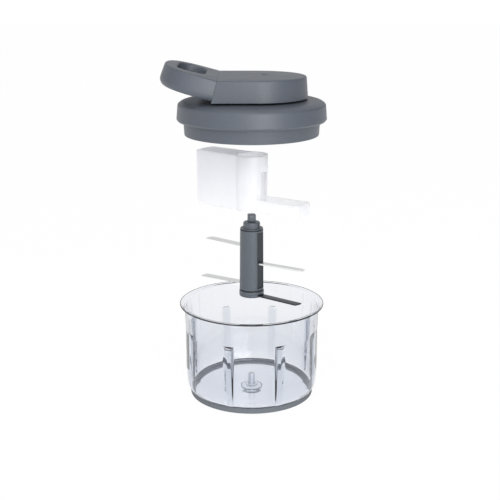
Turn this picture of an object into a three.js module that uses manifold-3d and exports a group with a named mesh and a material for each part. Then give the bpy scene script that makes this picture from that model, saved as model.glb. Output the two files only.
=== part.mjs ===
// Hand-pulled food processor, lifted apart along its vertical axis: bowl, blade unit, blade cover and lid.
// Millimetres, +Z up. The origin is on the bowl's axis, at the level of the surface it stands on.

import * as THREE from "three";
import { mergeVertices } from "three/addons/utils/BufferGeometryUtils.js";
import Module from "manifold-3d";

const wasm = await Module();
wasm.setup();

// Clearance left between pieces that touch
const GAP = 0.3;

// Bowl
const RIM_R = 64;
const BOWL_TOP = 84.2;
const FLOOR_BOTTOM = 2;
const FLOOR_TOP = 4;
const BODY_R = 59.1;
const BODY_INNER_R = 56.6;
const MOUTH_INNER_R = 58.8;
const FLOOR_FILLET = 6;
const FOOT_R = 9.5;
const RIB_COUNT = 8;
const RIB_FIRST_ANGLE = -65.2;
const RIB_HALF_INNER = 2.8;
const RIB_HALF_OUTER = 4.6;
const RIB_INNER_R = 54.3;
const RIB_TOP = 61.6;
const PIN_R = 3;
const PIN_TOP = 15;

// Blade unit, with its underside at this height when it is lifted out
const UNIT_BOTTOM = 90.5;
const COLLAR_R = 10.93;
const COLLAR_HEIGHT = 5.2;
const SHAFT_R = 10.6;
const SHAFT_TOP_R = 10.2;
const SHOULDER_Z = 152.5;
const STEP_R = 7.45;
const STEP_TOP = 158.3;
const TIP_TOP = 164.5;
const TIP_HALF = 3.4;
const TIP_CORNER = 2.31;
const TIP_ANGLE = 12;
const CHANNEL_DEPTH = 1.4;
const BLADE_CHORD = 7.8;
const BLADE_THICK = 1.3;
const BLADE_ROOT_R = 7.3;
const BLADE_POINT = 3.2;
const BLADE_CUT = 1.5;
const BLADES = [
  { name: "blade_low_right", height: 1.6, angle: -37.8, reach: 52.1 },
  { name: "blade_low_left", height: 10.1, angle: 147.8, reach: 52 },
  { name: "blade_mid_right", height: 30.8, angle: -31.6, reach: 52.1 },
  { name: "blade_top_left", height: 44.2, angle: 140.3, reach: 51 },
];

// Blade cover
const COVER_BOTTOM = 169.5;
const COVER_HEIGHT = 48;
const COVER_WALL = 1.2;
const HUB_R = 14;
const HUB_WALL = 1.4;
const WING_R = 53.6;
const TALL_WING = { angle: 143, halfWidth: 11.4 };
const LOW_WING = { angle: -33, halfWidth: 10, height: 10.5 };
const HUB_SLOT = { angle: -31, halfWidth: 5.3, height: 34 };

// Lid
const PLUG_BOTTOM = 235;
const FLANGE_BOTTOM = 247;
const LID_TOP = 264.8;
const LID_CEILING = 261.6;
const LID_MIDDLE_BOTTOM = 259.2;
const LID_MIDDLE_R = 31;
const PLUG_R = 58.2;
const PLUG_BOTTOM_R = 57.5;
const PLUG_WALL = 2.5;
const LID_HOLE_R = 8.2;
const UNDER_PLATE_BOTTOM = 237;
const UNDER_PLATE_TOP = 239;

// Housing of the reel, on top of the lid
const HOUSING_BOTTOM = 266.4;
const HOUSING_TOP = 285.1;
const HOUSING_HALF = 42.6;
const HOUSING_DRAFT = 1.4;
const HOUSING_END_X = 3.7;
const HOUSING_WALL = 2.5;
const NECK_HALF = 33;
const NECK_LEFT_X = -24;
const VENT = { x: 10.4, r: 2.6, depth: 1.6 };
// The rounded top edge and slight crown that the housing and the handle share: how far the plan grows,
// and how far that level is below the top.
const CROWN = [
  { grow: 0.1, below: 2 },
  { grow: -0.15, below: 1.3 },
  { grow: -0.6, below: 0.8 },
  { grow: -1.2, below: 0.55 },
  { grow: -7, below: 0.35 },
  { grow: -16, below: 0.12 },
  { grow: -26, below: 0 },
];

// Handle: tilted up from the seam where it meets the housing
const SEAM_X = -28;
const TILT = THREE.MathUtils.degToRad(15);
const HANDLE_THICK = 17.7;
const HANDLE_STRAIGHT = 14;
const HANDLE_END = 31.8;
const HANDLE_POWER = 2.4;
const HANDLE_WALL = 3;
const FINGER = { centre: -22.8, halfLong: 27, halfWide: 12 };
const HANDLE_PLATE_THICK = 2;
const HANDLE_PLATE_RECESS = 1.6;
const CORD_R = 1.2;
const CORD_DEPTH = -10;
const STOP_LENGTH = 2.6;
const CORD_MEET = 4.1;

// Cord reel and the drive socket under it
const REEL_BOTTOM = 267.2;
const REEL_TOP = 280;
const REEL_FLANGE = 1.6;
const REEL_R = 23.5;
const REEL_HUB_R = 14.7;
const COIL_R = 17.1;
const SOCKET_BOTTOM = 237.4;
const SOCKET_SHOULDER = 249.5;
const SOCKET_R = 10;
const SOCKET_NECK_R = 7.4;
const SOCKET_TOP = 271.6;
const RATCHET_R = 9.6;
const RATCHET_TEETH = 10;
const AXLE_R = 2.5;

// Colours
const SLATE = 0x6b717c;
const SLATE_DARK = 0x5a626a;
const CLEAR = 0xe9edf4;
const WHITE = 0xecedf0;
const STEEL = 0xc9ccd0;
const RUBBER = 0x50555d;
const CORD_WHITE = 0xd8d8d4;

const group = new THREE.Group();
const handle = new THREE.Group();
handle.position.set(SEAM_X, 0, HOUSING_TOP);
handle.rotation.y = TILT;
group.add(handle);

// ---------------------------------------------------------------- helpers

// A solid of revolution about Z from (radius, height) points, given bottom first, then up the outside.
function turned(points, segments = 48) {
  const profile = points.map(([r, z]) => new THREE.Vector2(r, z));
  return new THREE.LatheGeometry(profile, segments).rotateX(Math.PI / 2);
}

// A closed ring of revolution: the profile comes back to its first point.
function turnedRing(points, segments = 48) {
  return turned([...points, points[0]], segments);
}

// A plan outline of [x, y] points raised from z0 to z1.
function raised(outline, z0, z1) {
  const shape = new THREE.Shape(outline.map(([x, y]) => new THREE.Vector2(x, y)));
  const geometry = new THREE.ExtrudeGeometry(shape, { depth: z1 - z0, bevelEnabled: false });
  return geometry.translate(0, 0, z0);
}

// A solid through plan outlines with equal point counts, each counter-clockwise, at rising heights.
function lofted(sections) {
  const count = sections[0].outline.length;
  const positions = [];
  const index = [];
  for (const { outline, z } of sections) {
    for (const [x, y] of outline) positions.push(x, y, z);
  }
  for (let s = 0; s + 1 < sections.length; s++) {
    for (let i = 0; i < count; i++) {
      const a = s * count + i;
      const b = s * count + ((i + 1) % count);
      index.push(a, b, b + count, a, b + count, a + count);
    }
  }
  const caps = [
    { first: 0, section: sections[0], up: false },
    { first: (sections.length - 1) * count, section: sections[sections.length - 1], up: true },
  ];
  for (const { first, section, up } of caps) {
    const middle = positions.length / 3;
    const cx = section.outline.reduce((sum, p) => sum + p[0], 0) / count;
    const cy = section.outline.reduce((sum, p) => sum + p[1], 0) / count;
    positions.push(cx, cy, section.z);
    for (let i = 0; i < count; i++) {
      const a = first + i;
      const b = first + ((i + 1) % count);
      if (up) index.push(a, b, middle);
      else index.push(b, a, middle);
    }
  }
  const geometry = new THREE.BufferGeometry();
  geometry.setAttribute("position", new THREE.Float32BufferAttribute(positions, 3));
  geometry.setIndex(index);
  return geometry;
}

function box(x0, x1, y0, y1, z0, z1) {
  const geometry = new THREE.BoxGeometry(x1 - x0, y1 - y0, z1 - z0);
  return geometry.translate((x0 + x1) / 2, (y0 + y1) / 2, (z0 + z1) / 2);
}

function cylinder(radius, z0, z1, segments = 24) {
  const geometry = new THREE.CylinderGeometry(radius, radius, z1 - z0, segments);
  return geometry.rotateX(Math.PI / 2).translate(0, 0, (z0 + z1) / 2);
}

// A three.js geometry as a manifold solid, ready to be joined or cut.
function solid(geometry) {
  const plain = new THREE.BufferGeometry();
  plain.setAttribute("position", geometry.getAttribute("position"));
  if (geometry.index) plain.setIndex(geometry.index);
  const merged = mergeVertices(plain, 1e-4);
  return new wasm.Manifold(
    new wasm.Mesh({
      numProp: 3,
      vertProperties: new Float32Array(merged.attributes.position.array),
      triVerts: new Uint32Array(merged.index.array),
    }),
  );
}

// A manifold solid back as a three.js geometry.
function geometryOf(made) {
  const { vertProperties, triVerts } = made.getMesh();
  const geometry = new THREE.BufferGeometry();
  geometry.setAttribute("position", new THREE.BufferAttribute(vertProperties, 3));
  geometry.setIndex(new THREE.BufferAttribute(triVerts, 1));
  return geometry;
}

function cut(geometry, ...tools) {
  return geometryOf(tools.reduce((rest, tool) => rest.subtract(solid(tool)), solid(geometry)));
}

function join(geometry, ...others) {
  return geometryOf(others.reduce((all, other) => all.add(solid(other)), solid(geometry)));
}

function common(a, b) {
  return geometryOf(solid(a).intersect(solid(b)));
}

// Adds one named piece to a group.
function piece(name, geometry, colour, { parent = group, roughness = 0.5, metalness = 0, opacity = 1 } = {}) {
  const material = new THREE.MeshStandardMaterial({ color: colour, roughness, metalness });
  material.transparent = opacity < 1;
  material.opacity = opacity;
  const shown = geometry.index ? geometry.toNonIndexed() : geometry;
  shown.computeVertexNormals();
  const mesh = new THREE.Mesh(shown, material);
  mesh.name = name;
  parent.add(mesh);
  return mesh;
}

function turnedBy(geometry, degrees) {
  return geometry.rotateZ(THREE.MathUtils.degToRad(degrees));
}

// A pan-head screw standing on z = 0 with its head below and its shank above.
function screw(headR, headHeight, shankR, length) {
  const points = [
    [0, -headHeight],
    [headR * 0.7, -headHeight],
    [headR, -headHeight * 0.5],
    [headR, 0],
    [shankR, 0],
    [shankR, length],
    [0, length + shankR],
  ];
  return turned(points, 12);
}

// ---------------------------------------------------------------- bowl

// Outside of the bowl, from under the floor up to the rim's outer edge.
function bowlOutside() {
  return [
    [0, 0],
    [FOOT_R, 0],
    [FOOT_R, FLOOR_BOTTOM],
    [52.9, FLOOR_BOTTOM],
    [52.9, 3.2],
    [54.4, 5.3],
    [55.8, 5.3],
    [57.2, 8],
    [58.2, 12],
    [BODY_R, 24],
    [BODY_R, 60],
    [59.9, BOWL_TOP - 2.2],
    [60.7, BOWL_TOP - 1.4],
    [63.5, BOWL_TOP - 1.1],
    [RIM_R, BOWL_TOP - 0.8],
    [RIM_R, BOWL_TOP - 0.3],
    [RIM_R - 0.3, BOWL_TOP],
  ];
}

// Inside of the bowl, from the mouth down to the socket of the spindle pin.
function bowlInside() {
  const fillet = [];
  const middleR = BODY_INNER_R - 0.6 - FLOOR_FILLET;
  for (let i = 0; i <= 3; i++) {
    const a = (i / 3) * (Math.PI / 2);
    const r = middleR + FLOOR_FILLET * Math.cos(a);
    const z = FLOOR_TOP + FLOOR_FILLET - FLOOR_FILLET * Math.sin(a);
    fillet.push([r, z]);
  }
  return [
    [MOUTH_INNER_R + 0.5, BOWL_TOP],
    [MOUTH_INNER_R, BOWL_TOP - 0.6],
    [BODY_INNER_R + 1.4, 66],
    [BODY_INNER_R + 0.5, 46],
    [BODY_INNER_R, 24],
    ...fillet,
    [5.6, FLOOR_TOP],
    [5.6, FLOOR_TOP + 1.2],
    [PIN_R + GAP, FLOOR_TOP + 1.2],
    [PIN_R + GAP, 1.2],
    [0, 1.2],
  ];
}

// One rib along +X: a bar with sloping sides, whose top end curves back into the wall.
function ribBar() {
  const outer = BODY_INNER_R + 1.7;
  const levels = [
    { back: 0, z: FLOOR_TOP - 0.5 },
    { back: 0, z: RIB_TOP - 4.6 },
    { back: 0.5, z: RIB_TOP - 2.6 },
    { back: 1.3, z: RIB_TOP - 1.2 },
    { back: 2.2, z: RIB_TOP - 0.4 },
    { back: 3.5, z: RIB_TOP },
  ];
  return lofted(
    levels.map(({ back, z }) => {
      const inner = RIB_INNER_R + back;
      const outline = [
        [inner, -RIB_HALF_INNER],
        [outer, -RIB_HALF_OUTER],
        [outer, RIB_HALF_OUTER],
        [inner, RIB_HALF_INNER],
      ];
      return { outline, z };
    }),
  );
}

function bowl() {
  const shell = turned([...bowlOutside(), ...bowlInside()]);
  const filled = solid(turned([...bowlOutside(), [0, BOWL_TOP]]));
  let made = solid(shell);
  for (let i = 0; i < RIB_COUNT; i++) {
    const rib = turnedBy(ribBar(), RIB_FIRST_ANGLE + (i * 360) / RIB_COUNT);
    made = made.add(solid(rib).intersect(filled));
  }
  piece("bowl", geometryOf(made), CLEAR, { roughness: 0.08, opacity: 0.35 });
}

function baseRing() {
  const section = [
    [50.6, 0],
    [55.1, 0],
    [55.6, 5],
    [54.7, 5],
    [53.25, 3],
    [53.25, FLOOR_BOTTOM - GAP],
    [50.6, FLOOR_BOTTOM - GAP],
  ];
  piece("base_ring", turnedRing(section), RUBBER, { roughness: 0.8 });
}

function spindlePin() {
  const points = [
    [0, 1.2 + GAP],
    [PIN_R, 1.2 + GAP],
    [PIN_R, PIN_TOP - 1],
    [PIN_R - 1, PIN_TOP],
    [0, PIN_TOP],
  ];
  piece("spindle_pin", turned(points, 24), STEEL, { roughness: 0.3, metalness: 1 });
}

// ---------------------------------------------------------------- blade unit

function spindleBush() {
  const section = [
    [PIN_R + 0.35, UNIT_BOTTOM],
    [5.4, UNIT_BOTTOM],
    [5.4, UNIT_BOTTOM + 11],
    [PIN_R + 0.35, UNIT_BOTTOM + 11],
  ];
  piece("spindle_bush", turnedRing(section, 24), WHITE, { roughness: 0.4 });
}

// A chisel-ground bar along X, cut to the plan of the blade and turned to its place.
function bladeSolid(blade) {
  const half = BLADE_CHORD / 2;
  const thick = BLADE_THICK / 2;
  const z = UNIT_BOTTOM + blade.height;
  const edge = 0.15;
  const ground = half - 2.2;
  const sectionPoints = [
    [-half, -thick],
    [-half, thick],
    [ground, thick],
    [half, edge],
    [half, -edge],
    [ground, -thick],
  ];
  const section = new THREE.Shape(sectionPoints.map(([y, up]) => new THREE.Vector2(y, up)));
  const bar = new THREE.ExtrudeGeometry(section, { depth: blade.reach + 4, bevelEnabled: false });
  bar.applyMatrix4(
    new THREE.Matrix4().makeBasis(
      new THREE.Vector3(0, 1, 0),
      new THREE.Vector3(0, 0, 1),
      new THREE.Vector3(1, 0, 0),
    ),
  );
  bar.translate(0, 0, z);
  const far = Math.sqrt(blade.reach ** 2 - BLADE_POINT ** 2);
  const plan = [
    [BLADE_ROOT_R, -half - 1],
    [far - BLADE_CUT, -half - 1],
    [far, BLADE_POINT],
    [far - 0.4, half + 1],
    [BLADE_ROOT_R, half + 1],
  ];
  const outline = raised(plan, z - thick - 1, z + thick + 1);
  return turnedBy(common(bar, outline), blade.angle);
}

function bladeSlot(blade) {
  const z = UNIT_BOTTOM + blade.height;
  const half = BLADE_CHORD / 2 + GAP;
  const thick = BLADE_THICK / 2 + GAP;
  return turnedBy(box(BLADE_ROOT_R - GAP, 20, -half, half, z - thick, z + thick), blade.angle);
}

function shaftCollar() {
  const section = [
    [6.7, UNIT_BOTTOM],
    [COLLAR_R - 0.8, UNIT_BOTTOM],
    [COLLAR_R, UNIT_BOTTOM + 0.8],
    [COLLAR_R, UNIT_BOTTOM + COLLAR_HEIGHT - 0.4],
    [COLLAR_R - 0.4, UNIT_BOTTOM + COLLAR_HEIGHT],
    [6.7, UNIT_BOTTOM + COLLAR_HEIGHT],
  ];
  const ring = cut(turnedRing(section, 32), bladeSlot(BLADES[0]));
  piece("shaft_collar", ring, SLATE_DARK, { roughness: 0.45 });
}

function bladeShaft() {
  const above = UNIT_BOTTOM + COLLAR_HEIGHT + GAP;
  const points = [
    [5.7, UNIT_BOTTOM + GAP],
    [6.4, UNIT_BOTTOM + GAP],
    [6.4, above],
    [SHAFT_R - 0.4, above],
    [SHAFT_R, above + 0.5],
    [SHAFT_TOP_R, SHOULDER_Z - 2.2],
    [SHAFT_TOP_R - 0.7, SHOULDER_Z - 0.6],
    [SHAFT_TOP_R - 2, SHOULDER_Z],
    [STEP_R, SHOULDER_Z],
    [STEP_R, STEP_TOP - 1.4],
    [STEP_R - 0.5, STEP_TOP - 0.4],
    [STEP_R - 1.5, STEP_TOP - GAP],
    [TIP_HALF - 0.6, STEP_TOP - GAP],
    [TIP_HALF - 0.6, SHOULDER_Z - 4],
    [0, SHOULDER_Z - 4],
    [0, UNIT_BOTTOM + 11.6],
    [5.7, UNIT_BOTTOM + 11.6],
  ];
  const body = turnedRing(points, 32);
  const channelHalf = BLADE_CHORD / 2 + GAP;
  const channel = turnedBy(
    box(SHAFT_R - CHANNEL_DEPTH, 20, -channelHalf, channelHalf, above + 2.5, SHOULDER_Z - 3),
    BLADES[0].angle,
  );
  const shaft = cut(body, channel, ...BLADES.slice(1).map(bladeSlot));
  piece("blade_shaft", shaft, SLATE_DARK, { roughness: 0.45 });
}

// A square with its corners cut off, the same after every quarter turn.
function drivePlan(half, corner) {
  return [
    [half, -corner],
    [half, corner],
    [corner, half],
    [-corner, half],
    [-half, corner],
    [-half, -corner],
    [-corner, -half],
    [corner, -half],
  ];
}

function driveTip() {
  const small = drivePlan(TIP_HALF - 0.7, TIP_CORNER - 0.7);
  const full = drivePlan(TIP_HALF, TIP_CORNER);
  const head = lofted([
    { outline: full, z: STEP_TOP },
    { outline: full, z: TIP_TOP - 0.8 },
    { outline: small, z: TIP_TOP },
  ]);
  const stem = cylinder(TIP_HALF - 0.9, SHOULDER_Z - 3.7, STEP_TOP + 1, 16);
  piece("drive_tip", turnedBy(join(head, stem), TIP_ANGLE), SLATE_DARK, { roughness: 0.4 });
}

function blades() {
  for (const blade of BLADES) {
    piece(blade.name, bladeSolid(blade), STEEL, { roughness: 0.28, metalness: 1 });
  }
}

// ---------------------------------------------------------------- blade cover

// A wing's plan: straight sides along its direction, ending in an arc about the hub's axis.
function wingPlan(wing, inset) {
  const half = wing.halfWidth - inset;
  const radius = WING_R - inset;
  const edge = Math.asin(half / radius);
  const plan = [[0, -half]];
  for (let i = 0; i <= 8; i++) {
    const a = -edge + (2 * edge * i) / 8;
    plan.push([radius * Math.cos(a), radius * Math.sin(a)]);
  }
  plan.push([0, half]);
  return plan;
}

function bladeCover() {
  const bottom = COVER_BOTTOM;
  const top = COVER_BOTTOM + COVER_HEIGHT;
  const lowTop = COVER_BOTTOM + LOW_WING.height;
  const hub = cylinder(HUB_R, bottom, top, 48);
  const tall = turnedBy(raised(wingPlan(TALL_WING, 0), bottom, top), TALL_WING.angle);
  const low = turnedBy(raised(wingPlan(LOW_WING, 0), bottom, lowTop), LOW_WING.angle);
  const bore = cylinder(HUB_R - HUB_WALL, bottom - 1, top + 1, 48);
  const insideTall = turnedBy(
    raised(wingPlan(TALL_WING, COVER_WALL), bottom - 1, top - COVER_WALL),
    TALL_WING.angle,
  );
  const insideLow = turnedBy(
    raised(wingPlan(LOW_WING, COVER_WALL), bottom - 1, lowTop + 0.01),
    LOW_WING.angle,
  );
  const slot = turnedBy(
    box(0, HUB_R + 1, -HUB_SLOT.halfWidth, HUB_SLOT.halfWidth, bottom - 1, bottom + HUB_SLOT.height),
    HUB_SLOT.angle,
  );
  const shell = cut(join(hub, tall, low), bore, insideTall, insideLow, slot);
  piece("blade_cover", shell, WHITE, { roughness: 0.4 });
}

// ---------------------------------------------------------------- lid

// Centres of the three screws that hold the plate under the lid.
const PLATE_SCREWS = [90, 210, 330].map((degrees) => {
  const a = THREE.MathUtils.degToRad(degrees);
  return [46 * Math.cos(a), 46 * Math.sin(a)];
});

function lid() {
  const inner = PLUG_R - PLUG_WALL;
  const section = [
    [inner, PLUG_BOTTOM],
    [PLUG_BOTTOM_R - 0.4, PLUG_BOTTOM],
    [PLUG_BOTTOM_R, PLUG_BOTTOM + 0.5],
    [PLUG_R, FLANGE_BOTTOM - 0.5],
    [PLUG_R, LID_MIDDLE_BOTTOM],
    [61.2, LID_MIDDLE_BOTTOM],
    [61.2, FLANGE_BOTTOM],
    [62.8, FLANGE_BOTTOM],
    [RIM_R, FLANGE_BOTTOM + 1.6],
    [63, LID_TOP - 4.6],
    [62.4, LID_TOP - 3.3],
    [60, LID_TOP - 1.6],
    [57.5, LID_TOP - 0.8],
    [54, LID_TOP - 0.3],
    [46, LID_TOP],
    [LID_HOLE_R, LID_TOP],
    [LID_HOLE_R, LID_MIDDLE_BOTTOM],
    [LID_MIDDLE_R, LID_MIDDLE_BOTTOM],
    [LID_MIDDLE_R, LID_CEILING],
    [inner, LID_CEILING],
  ];
  const postBottom = UNDER_PLATE_TOP + GAP;
  const posts = PLATE_SCREWS.map(([x, y]) =>
    cylinder(4, postBottom, LID_CEILING + 0.5, 12).translate(x, y, 0),
  );
  const holes = PLATE_SCREWS.map(([x, y]) =>
    cylinder(1.9, postBottom - 1, postBottom + 12, 12).translate(x, y, 0),
  );
  piece("lid", cut(join(turnedRing(section), ...posts), ...holes), SLATE, { roughness: 0.55 });
}

function lidSeal() {
  const section = [
    [58.6, FLANGE_BOTTOM + GAP],
    [60.8, FLANGE_BOTTOM + GAP],
    [60.8, FLANGE_BOTTOM + 5],
    [58.6, FLANGE_BOTTOM + 5],
  ];
  piece("lid_seal", turnedRing(section), RUBBER, { roughness: 0.8 });
}

function lidUnderPlate() {
  const outer = PLUG_R - PLUG_WALL - GAP;
  const section = [
    [SOCKET_R + 0.6, UNDER_PLATE_BOTTOM],
    [outer, UNDER_PLATE_BOTTOM],
    [outer, UNDER_PLATE_TOP],
    [SOCKET_R + 0.6, UNDER_PLATE_TOP],
  ];
  const holes = PLATE_SCREWS.map(([x, y]) =>
    cylinder(1.9, UNDER_PLATE_BOTTOM - 1, UNDER_PLATE_TOP + 1, 12).translate(x, y, 0),
  );
  piece("lid_under_plate", cut(turnedRing(section), ...holes), SLATE_DARK, { roughness: 0.6 });
  PLATE_SCREWS.forEach(([x, y], i) => {
    const made = screw(3.2, 1.5, 1.5, 10).translate(x, y, UNDER_PLATE_BOTTOM - GAP);
    piece(`plate_screw_${i + 1}`, made, STEEL, { roughness: 0.35, metalness: 1 });
  });
}

function springCup() {
  const bottom = SOCKET_SHOULDER + 0.6;
  const section = [
    [SOCKET_NECK_R + 0.5, bottom],
    [27, bottom],
    [27, LID_MIDDLE_BOTTOM - GAP],
    [25.4, LID_MIDDLE_BOTTOM - GAP],
    [25.4, bottom + 1.5],
    [SOCKET_NECK_R + 0.5, bottom + 1.5],
  ];
  piece("spring_cup", turnedRing(section, 36), SLATE_DARK, { roughness: 0.6 });
}

// A flat spiral of steel strip between the socket's neck and the cup.
function returnSpring() {
  const turns = 4;
  const steps = turns * 14;
  const innerR = SOCKET_NECK_R + 1.4;
  const outerR = 24.4;
  const strip = 0.5;
  const outside = [];
  const inside = [];
  for (let i = 0; i <= steps; i++) {
    const a = (i / steps) * turns * 2 * Math.PI;
    const r = innerR + ((outerR - innerR) * i) / steps;
    outside.push([(r + strip) * Math.cos(a), (r + strip) * Math.sin(a)]);
    inside.push([r * Math.cos(a), r * Math.sin(a)]);
  }
  const bottom = SOCKET_SHOULDER + 2.6;
  const made = raised([...outside, ...inside.reverse()], bottom, bottom + 5);
  piece("return_spring", made, STEEL, { roughness: 0.3, metalness: 1 });
}

// ---------------------------------------------------------------- housing

// Plan of the housing: straight sides along X and a half-round right end.
function housingPlan(half, leftX) {
  const plan = [];
  for (let i = 0; i <= 24; i++) {
    const a = -Math.PI / 2 + (Math.PI * i) / 24;
    plan.push([HOUSING_END_X + half * Math.cos(a), half * Math.sin(a)]);
  }
  plan.push([leftX, half]);
  plan.push([leftX, -half]);
  return plan;
}

// Everything to the left of a plane that leans with the seam, moved right by the offset.
function leftOfSeam(offset) {
  const block = box(-80, offset, -60, 60, -60, 30);
  return block.rotateY(TILT).translate(SEAM_X, 0, HOUSING_TOP);
}

function housingShell() {
  const half = HOUSING_HALF;
  const outer = lofted([
    { outline: housingPlan(half + HOUSING_DRAFT - 0.6, -48), z: HOUSING_BOTTOM },
    { outline: housingPlan(half + HOUSING_DRAFT, -48), z: HOUSING_BOTTOM + 0.8 },
    ...CROWN.map(({ grow, below }) => ({ outline: housingPlan(half + grow, -48), z: HOUSING_TOP - below })),
  ]);
  const inner = lofted([
    { outline: housingPlan(half + HOUSING_DRAFT - HOUSING_WALL, -60), z: HOUSING_BOTTOM - 1 },
    { outline: housingPlan(half - HOUSING_WALL - 0.4, -60), z: HOUSING_TOP - HOUSING_WALL },
  ]);
  const hollow = cut(inner, leftOfSeam(HOUSING_WALL));
  const vent = cylinder(VENT.r, HOUSING_TOP - VENT.depth, HOUSING_TOP + 1, 20).translate(VENT.x, 0, 0);
  const eye = new THREE.CylinderGeometry(3, 3, 12, 16);
  eye.rotateZ(Math.PI / 2).translate(0, 0, CORD_DEPTH);
  eye.rotateY(TILT).translate(SEAM_X, 0, HOUSING_TOP);
  const boss = cylinder(5, REEL_TOP + 0.4, HOUSING_TOP - HOUSING_WALL + 0.5, 20);
  const axleHole = cylinder(AXLE_R + GAP, REEL_TOP, HOUSING_TOP - 1.2, 20);
  const shell = cut(join(cut(outer, leftOfSeam(0), hollow), boss), vent, eye, axleHole);
  piece("housing_shell", shell, SLATE, { roughness: 0.55 });

  const plug = cylinder(VENT.r - GAP, HOUSING_TOP - VENT.depth + GAP, HOUSING_TOP - 0.35, 16);
  piece("vent_plug", plug.translate(VENT.x, 0, 0), RUBBER, { roughness: 0.8 });
}

function housingNeck() {
  const plate = raised(housingPlan(NECK_HALF, NECK_LEFT_X), LID_TOP + GAP, HOUSING_BOTTOM - GAP);
  const hole = cylinder(LID_HOLE_R, LID_TOP - 1, HOUSING_BOTTOM + 1, 24);
  piece("housing_neck", cut(plate, hole), SLATE_DARK, { roughness: 0.6 });
}

// The bushed hole that the cord runs out through, square to the seam.
function cordEyelet() {
  const section = [
    [CORD_R + 0.5, 0.2],
    [2.6, 0.2],
    [2.6, HOUSING_WALL + 0.4],
    [4.2, HOUSING_WALL + 0.4],
    [4.2, HOUSING_WALL + 1.4],
    [CORD_R + 0.5, HOUSING_WALL + 1.4],
  ];
  const ring = turnedRing(section, 16).rotateY(Math.PI / 2);
  ring.translate(0, 0, CORD_DEPTH);
  piece("cord_eyelet", ring, STEEL, { parent: handle, roughness: 0.3, metalness: 1 });
}

function reelAxle() {
  const axle = turned(
    [
      [0, SOCKET_TOP + 0.4],
      [AXLE_R, SOCKET_TOP + 0.4],
      [AXLE_R, HOUSING_TOP - 1.6],
      [0, HOUSING_TOP - 1.6],
    ],
    20,
  );
  piece("reel_axle", axle, STEEL, { roughness: 0.3, metalness: 1 });
}

// ---------------------------------------------------------------- reel and drive

function cordReel() {
  const section = [
    [SOCKET_NECK_R + GAP, REEL_BOTTOM],
    [REEL_R, REEL_BOTTOM],
    [REEL_R, REEL_BOTTOM + REEL_FLANGE],
    [REEL_HUB_R, REEL_BOTTOM + REEL_FLANGE],
    [REEL_HUB_R, REEL_TOP - REEL_FLANGE],
    [REEL_R, REEL_TOP - REEL_FLANGE],
    [REEL_R, REEL_TOP],
    [AXLE_R + 0.4, REEL_TOP],
    [AXLE_R + 0.4, REEL_TOP - 2.5],
    [12.6, REEL_TOP - 2.5],
    [12.6, SOCKET_TOP - 0.6],
    [SOCKET_NECK_R + GAP, SOCKET_TOP - 0.6],
  ];
  piece("cord_reel", turnedRing(section, 28), WHITE, { roughness: 0.5 });
}

// The cord lying on the reel: four turns, one above the other.
function woundCord() {
  const bottom = REEL_BOTTOM + REEL_FLANGE + GAP;
  const top = REEL_TOP - REEL_FLANGE - GAP;
  const turns = 4;
  const pitch = (top - bottom) / turns;
  const section = [[REEL_HUB_R + GAP, bottom]];
  for (let i = 0; i < turns; i++) {
    section.push([COIL_R - 0.8, bottom + (i + 0.04) * pitch]);
    section.push([COIL_R, bottom + (i + 0.5) * pitch]);
  }
  section.push([COIL_R - 0.8, top]);
  section.push([REEL_HUB_R + GAP, top]);
  piece("wound_cord", turnedRing(section, 20), CORD_WHITE, { roughness: 0.9 });
}

// The one-way coupling inside the reel: a saw-toothed wheel and two pawls.
function ratchet() {
  const plan = [];
  for (let i = 0; i < RATCHET_TEETH; i++) {
    const start = (i / RATCHET_TEETH) * 2 * Math.PI;
    const end = ((i + 0.92) / RATCHET_TEETH) * 2 * Math.PI;
    plan.push([(RATCHET_R - 1.3) * Math.cos(start), (RATCHET_R - 1.3) * Math.sin(start)]);
    plan.push([RATCHET_R * Math.cos(end), RATCHET_R * Math.sin(end)]);
  }
  const bottom = SOCKET_TOP + GAP;
  const bore = cylinder(AXLE_R + 0.4, bottom - 1, bottom + 6, 20);
  const wheel = cut(raised(plan, bottom, bottom + 4), bore);
  piece("ratchet_wheel", wheel, STEEL, { roughness: 0.4, metalness: 1 });

  for (const [name, degrees] of [["pawl_1", 20], ["pawl_2", 200]]) {
    const arc = [];
    for (let i = 0; i <= 4; i++) {
      const a = (i / 4) * 0.7;
      arc.push([12.2 * Math.cos(a), 12.2 * Math.sin(a)]);
    }
    for (let i = 4; i >= 0; i--) {
      const a = (i / 4) * 0.7;
      const r = 10.6 - (i === 0 ? 0.6 : 0);
      arc.push([r * Math.cos(a), r * Math.sin(a)]);
    }
    const pawl = turnedBy(raised(arc, bottom, bottom + 3.4), degrees);
    piece(name, pawl, STEEL, { roughness: 0.4, metalness: 1 });
  }
}

function driveSocket() {
  const body = turned(
    [
      [0, SOCKET_BOTTOM],
      [SOCKET_R - 0.6, SOCKET_BOTTOM],
      [SOCKET_R, SOCKET_BOTTOM + 0.6],
      [SOCKET_R, SOCKET_SHOULDER],
      [SOCKET_NECK_R, SOCKET_SHOULDER],
      [SOCKET_NECK_R, SOCKET_TOP],
      [0, SOCKET_TOP],
    ],
    32,
  );
  const recess = raised(drivePlan(TIP_HALF + 0.4, TIP_CORNER + 0.3), SOCKET_BOTTOM - 1, SOCKET_BOTTOM + 6);
  piece("drive_socket", cut(body, turnedBy(recess, TIP_ANGLE)), SLATE_DARK, { roughness: 0.5 });
}

// ---------------------------------------------------------------- handle, in its own tilted frame

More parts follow.
